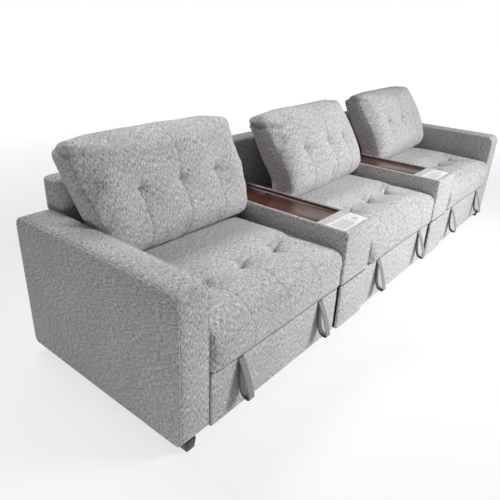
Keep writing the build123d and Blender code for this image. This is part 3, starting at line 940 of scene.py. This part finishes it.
def paddedPanel(name, node, body, style):
    low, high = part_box(node)
    trimX, trimZ = style["trim"]
    low, high = low + Vector((trimX, 0, 0)), high - Vector((trimX, 0, trimZ))
    bm = blockMesh(low, high)
    through = edgesAlong(bm, 1)
    roundEdges(bm, [e for e in through if e.verts[0].co.z < low.z + 1e-5], style["corner"], 5)
    roundEdges(bm, edgesOn(bm, lambda p: p.y < low.y + 1e-5), style["edge"], 4)
    roundEdges(bm, edgesOn(bm, lambda p: p.y > high.y - 1e-5), 0.002, 1)
    cutAcross(bm, 0, spaced(low.x, high.x, style["grid"]))
    cutAcross(bm, 2, spaced(low.z, high.z, style["grid"]))
    cutAcross(bm, 1, (low.y + style["paintedShadeFrom"],))
    # faces deeper than the cloth's reach take the near-black painted shade
    for f in bm.faces:
        f.material_index = int(f.calc_center_median().y > low.y + style["paintedShadeFrom"])
    puffUp(bm, low, high, ((0, 0), (style["bulge"], 0.0), (0, 0)), style["ripple"], low.x * 3)
    piece = pieceFrom(name, bm, cloth, paintedShadeCloth)
    weaveUv(piece)
    return settle(piece, body, (node,))


for number in (1, 2):
    consolePiece(number)
    paddedPanel(f"console{number}Kick", f"console_kick_{number}", "sofa", kickStyle)
print("consoles covered")

for number in (1, 2, 3):
    paddedPanel(f"drawer{number}Face", f"drawer_front_{number}", f"drawer_{number}", drawerStyle)


# pull straps: a folded loop of webbing, sewn flat to the drawer's face at the top
strapStyle = {
    "thick": 0.0018, "wide": 0.032, "across": 6, "steps": 7, "lift": 0.0012, "halfCad": 0.017,
    "line": [    # distance in front of the drawer's face, share of the height
        (0.0012, 1.0), (0.0020, 0.90), (0.0050, 0.62), (0.0120, 0.30), (0.0200, 0.12), (0.0320, 0.035),
        (0.0480, 0.006), (0.0575, 0.020), (0.0595, 0.060), (0.0500, 0.30), (0.0280, 0.68), (0.0090, 0.92),
        (0.0040, 0.985),
    ],
}


def smoothLine(points, steps):
    rows = np.array([points[0], *points, points[-1]])
    line = []
    for a, b, c, d in zip(rows, rows[1:], rows[2:], rows[3:]):
        for t in np.arange(steps) / steps:
            line.append(0.5 * (2 * b + (c - a) * t + (2 * a - 5 * b + 4 * c - d) * t ** 2
                               + (3 * b - a - 3 * c + d) * t ** 3))
    return np.array([*line, rows[-1]])


def strapPiece(number, tag, middle, low, high, face):
    wide = strapStyle["wide"]
    line = smoothLine(strapStyle["line"], strapStyle["steps"])
    ys = face - line[:, 0]
    lift = strapStyle["lift"]
    zs = low.z + lift + line[:, 1] * (high.z - low.z - lift)
    bm = bmesh.new()
    rows = []
    for i in range(strapStyle["across"] + 1):
        x = middle + wide * (i / strapStyle["across"] - 0.5)
        rows.append([bm.verts.new((x, y, z)) for y, z in zip(ys, zs)])
    for left, right in zip(rows, rows[1:]):
        for a, b, c, d in zip(left, right, right[1:], left[1:]):
            bm.faces.new((a, b, c, d))
    bmesh.ops.reverse_faces(bm, faces=bm.faces)
    name = f"drawer{number}Strap{tag}"
    mesh = bpy.data.meshes.new(name)
    bm.to_mesh(mesh)
    bm.free()
    # the loop's inside takes the darker webbing, painted shade; the outside takes the plain webbing
    piece = linkPiece(name, mesh, webbingPaintedShade, webbing)
    weaveUv(piece)
    modifier = piece.modifiers.new("thickness", "SOLIDIFY")
    modifier.thickness = strapStyle["thick"]
    modifier.offset = 0.0
    modifier.material_offset = 1
    return piece


for number in (1, 2, 3):
    low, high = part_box(f"drawer_straps_{number}")
    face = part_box(f"drawer_front_{number}")[0].y
    half = strapStyle["halfCad"]
    for tag, middle in (("Left", low.x + half), ("Right", high.x - half)):
        piece = strapPiece(number, tag, middle, low, high, face)
        settle(piece, f"drawer_{number}", (f"drawer_straps_{number}",))
print("drawers dressed")

# near-black strips over the front edges of the seat boards: painted shade in the gap between seat and drawer
shadeStripStyle = {
    "thick": 0.0012, "above": 0.0006, "sideGap": 0.001, "topGap": 0.0004, "grid": 0.05, "edge": 0.0004,
}
for number in (1, 2, 3):
    low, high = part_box(f"seat_deck_{number}")
    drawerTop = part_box(f"drawer_front_{number}")[1].z
    gap = shadeStripStyle["sideGap"]
    bm = blockMesh(Vector((low.x + gap, low.y - shadeStripStyle["thick"], drawerTop + shadeStripStyle["above"])),
                   Vector((high.x - gap, low.y - 0.0001, high.z - shadeStripStyle["topGap"])))
    cutAcross(bm, 0, spaced(low.x, high.x, shadeStripStyle["grid"]))
    roundEdges(bm, edgesOn(bm, lambda p: p.y < low.y - 0.001), shadeStripStyle["edge"], 2)
    settle(pieceFrom(f"seat{number}PaintedShadeStrip", bm, paintedShadeCloth), "sofa")
print("seat boards taped")


# wooden trays and feet
trayStyle = {"gap": 0.0004, "lip": 0.006, "floor": 0.010, "round": 0.002}


def trayPiece(number):
    low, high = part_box(f"console_tray_{number}")
    gap = Vector((trayStyle["gap"], trayStyle["gap"], 0.0))
    bm = blockMesh(low + gap, high - gap)
    bm.normal_update()
    top = [f for f in bm.faces if f.normal.z > 0.9]
    bmesh.ops.inset_region(bm, faces=top, thickness=trayStyle["lip"], depth=0.0)
    sinkFaces(bm, top, low.z + trayStyle["floor"] - high.z)
    roundEdges(bm, bm.edges[:], trayStyle["round"], 2)
    piece = pieceFrom(f"console{number}Tray", bm, walnut)
    settle(piece, "sofa", (f"console_tray_{number}",))


footStyle = {"top": 0.046, "bottom": 0.036, "round": 0.0025}


def footMesh(x, y, height):
    half = footStyle["top"] / 2
    bm = blockMesh(Vector((x - half, y - half, 0.0)), Vector((x + half, y + half, height)))
    sole = [v for v in bm.verts if v.co.z < 1e-5]
    shrink = footStyle["bottom"] / footStyle["top"]
    bmesh.ops.scale(bm, vec=(shrink, shrink, 1), verts=sole, space=Matrix.Translation((-x, -y, 0)))
    roundEdges(bm, bm.edges[:], footStyle["round"], 2)
    return bm


def footPieces(node, label):
    low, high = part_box(node)
    half = footStyle["top"] / 2
    for i, x in enumerate((low.x + half, high.x - half)):
        for j, y in enumerate((low.y + half, high.y - half)):
            piece = pieceFrom(f"{label}{i + 1}{j + 1}", footMesh(x, y, high.z), footWood)
            settle(piece, "sofa", (node,))


footPieces("arm_feet", "armFoot")
footPieces("console_feet", "consoleFoot")


# charger: a pale panel with a sunk grey pad and a white ring beside it
chargerStyle = {
    "gap": 0.0005, "padEnd": 0.014, "padRim": 0.016, "padStep": 0.0015, "padDeep": 0.0012, "edge": 0.0006,
    "ringHigh": 0.0018, "steps": 48, "centre": 0.42,
    "ring": [(0.0, 0.0008), (0.44, 0.0008), (0.5, 0.0016), (0.9, 0.0018), (0.985, 0.0008), (1.0, -0.0005)],
}


def chargerPiece(number):
    low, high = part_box(f"charger_panel_{number}")
    discLow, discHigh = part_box(f"charger_disc_{number}")
    gap = Vector((chargerStyle["gap"], chargerStyle["gap"], 0.0))
    rim = chargerStyle["padRim"]
    padLow = Vector((low.x + chargerStyle["padEnd"], low.y + rim, low.z))
    padHigh = Vector((discLow.x - rim, high.y - rim, high.z))
    bm = blockMesh(low + gap, high - gap)
    cutAcross(bm, 0, (padLow.x, padHigh.x))
    cutAcross(bm, 1, (padLow.y, padHigh.y))
    bm.normal_update()
    pad = facesWithin(bm, padLow, padHigh)
    for f in pad:
        f.material_index = 1
    bmesh.ops.inset_region(bm, faces=pad, thickness=chargerStyle["padStep"], depth=-chargerStyle["padDeep"])
    roundEdges(bm, edgesOn(bm, lambda p: p.z > high.z - 1e-5), chargerStyle["edge"], 2)
    piece = pieceFrom(f"console{number}ChargerPanel", bm, panelPlastic, padPlastic)
    for polygon in piece.data.polygons:
        polygon.use_smooth = False
    settle(piece, "sofa", (f"charger_panel_{number}",))
    centre = (discLow + discHigh) / 2
    radius = (discHigh.x - discLow.x) / 2
    ring = bmesh.new()
    profile = [(radius * share, z) for share, z in chargerStyle["ring"]] + [(radius, discLow.z - discHigh.z)]
    verts = [ring.verts.new((r, 0, discHigh.z - chargerStyle["ringHigh"] + z)) for r, z in profile]
    edges = [ring.edges.new(pair) for pair in zip(verts, verts[1:])]
    bmesh.ops.spin(ring, geom=verts + edges, cent=(0, 0, 0), axis=(0, 0, 1), dvec=(0, 0, 0),
                   angle=math.tau, steps=chargerStyle["steps"], use_merge=True, use_duplicate=False)
    bmesh.ops.remove_doubles(ring, verts=ring.verts, dist=1e-6)
    bmesh.ops.holes_fill(ring, edges=[e for e in ring.edges if e.is_boundary], sides=0)
    for f in ring.faces:
        middle = f.calc_center_median()
        inner = math.hypot(middle.x, middle.y) < radius * chargerStyle["centre"]
        f.material_index = int(inner and middle.z > discLow.z + 0.001)
    bmesh.ops.translate(ring, vec=(centre.x, centre.y, 0), verts=ring.verts)
    disc = pieceFrom(f"console{number}ChargerDisc", ring, discPlastic, discCentre)
    settle(disc, "sofa", (f"charger_disc_{number}",))


for number in (1, 2):
    trayPiece(number)
    chargerPiece(number)
print("trays, feet and chargers made")


# finishes for the solids that stay in view
finishes = {
    "frame": timber, "console_base": plywood, "console_deck": plywood, "seat_deck": plywood,
    "drawer_box": plywood, "drawer_rails": runnerWood, "drawer_slides": runnerWood,
    "charger_module": housingPlastic,
}
for name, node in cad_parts.items():
    chosen = next((m for key, m in finishes.items() if key in name), cloth)
    node.data.materials.clear()
    node.data.materials.append(chosen)


# floor, light and camera
floorStyle = {
    "size": 60.0, "colours": ((0.84, 0.84, 0.845), (0.86, 0.86, 0.865)),
    "shade": {"From Min": 2.0, "From Max": 4.5, "To Min": 0.26, "To Max": 0.0},    # fades with distance
}


def seenRays(tree):
    path = addNode(tree, "ShaderNodeLightPath")
    return mathNode(tree, "MAXIMUM", path.outputs["Is Camera Ray"], path.outputs["Is Glossy Ray"])


def stagePlane():
    bm = bmesh.new()
    bmesh.ops.create_grid(bm, x_segments=1, y_segments=1, size=floorStyle["size"])
    floor = pieceFrom("floor", bm)
    made, tree, shader = freshMaterial("paleFloor")
    place = objectPlace(tree)
    haze = stretchedNoise(tree, place, (0.6,) * 3)
    tone = colourRamp(tree, haze, list(zip((0.3, 0.7), floorStyle["colours"])))
    seen = seenRays(tree)
    reach = addNode(tree, "ShaderNodeVectorMath", operation="LENGTH")
    wire(place, reach.inputs[0])
    shade = mapRange(tree, reach.outputs["Value"], floorStyle["shade"])
    mix = addNode(tree, "ShaderNodeMix", data_type="RGBA")
    wire(seen, mix.inputs["Factor"])
    wire(tone, mix.inputs["A"])
    wire(shade, mix.inputs["B"])
    wire(mix.outputs["Result"], shader.inputs["Base Color"])
    setValues(shader, {"Roughness": 0.9, "Specular IOR Level": 0.1, "Emission Color": (1, 1, 1, 1)})
    glow = mathNode(tree, "SUBTRACT", 1.0, shade)
    wire(mathNode(tree, "MULTIPLY", seen, glow), shader.inputs["Emission Strength"])
    floor.data.materials.append(made)


lamps = {    # place, aim, size, spread in degrees and watts
    "rightKey": ((1.9, -3.6, 2.9), (0.1, -0.4, 0.35), (1.7, 1.3), 75.0, 49.0),
    "rearTop": ((-0.9, 1.7, 3.3), (-1.2, -0.1, 0.5), (1.8, 1.0), 75.0, 12.0),
    "leftLow": ((-4.6, -0.3, 0.28), (-1.6, 0.0, 0.30), (3.0, 0.36), 150.0, 15.0),
}


def studioLight():
    world = bpy.data.worlds.new("studio")
    scene.world = world
    world.use_nodes = True
    tree = world.node_tree
    level = mapRange(tree, seenRays(tree), {"To Min": 0.10, "To Max": 1.0})
    background = tree.nodes["Background"]
    setValues(background, {"Color": (1, 1, 1, 1)})
    wire(level, background.inputs["Strength"])
    for name, (place, aim, size, spread, watts) in lamps.items():
        data = bpy.data.lights.new(name, "AREA")
        data.shape = "RECTANGLE"
        data.size, data.size_y = size
        data.spread = math.radians(spread)
        data.energy = watts
        holder = bpy.data.objects.new(name, data)
        holder.location = place
        holder.rotation_mode = "QUATERNION"
        holder.rotation_quaternion = (Vector(place) - Vector(aim)).to_track_quat("Z", "Y")
        scene.collection.objects.link(holder)


# the photograph's station point, in metres and radians, with the focal length and image width in pixels
lens = {
    "place": (-2.4479, -1.3228, 1.3566), "yaw": 0.901, "pitch": 0.440, "roll": 0.045,
    "focal": 493.75, "image": 500.0, "sensor": 36.0,
}


def stationCamera():
    yaw, pitch, roll = lens["yaw"], lens["pitch"], lens["roll"]
    ahead = Vector((math.sin(yaw) * math.cos(pitch), math.cos(yaw) * math.cos(pitch), -math.sin(pitch)))
    right = Vector((math.cos(yaw), -math.sin(yaw), 0))
    up = right.cross(ahead)
    level = math.cos(roll) * right + math.sin(roll) * up
    above = math.cos(roll) * up - math.sin(roll) * right
    data = bpy.data.cameras.new("station")
    data.sensor_width = lens["sensor"]
    data.lens = lens["sensor"] * lens["focal"] / lens["image"]
    holder = bpy.data.objects.new("station", data)
    scene.collection.objects.link(holder)
    turn = Matrix((level, above, -ahead)).transposed().to_4x4()
    holder.matrix_world = Matrix.Translation(lens["place"]) @ turn
    scene.camera = holder


stagePlane()
studioLight()
stationCamera()
scene.view_settings.view_transform = "Standard"
print("stage set")
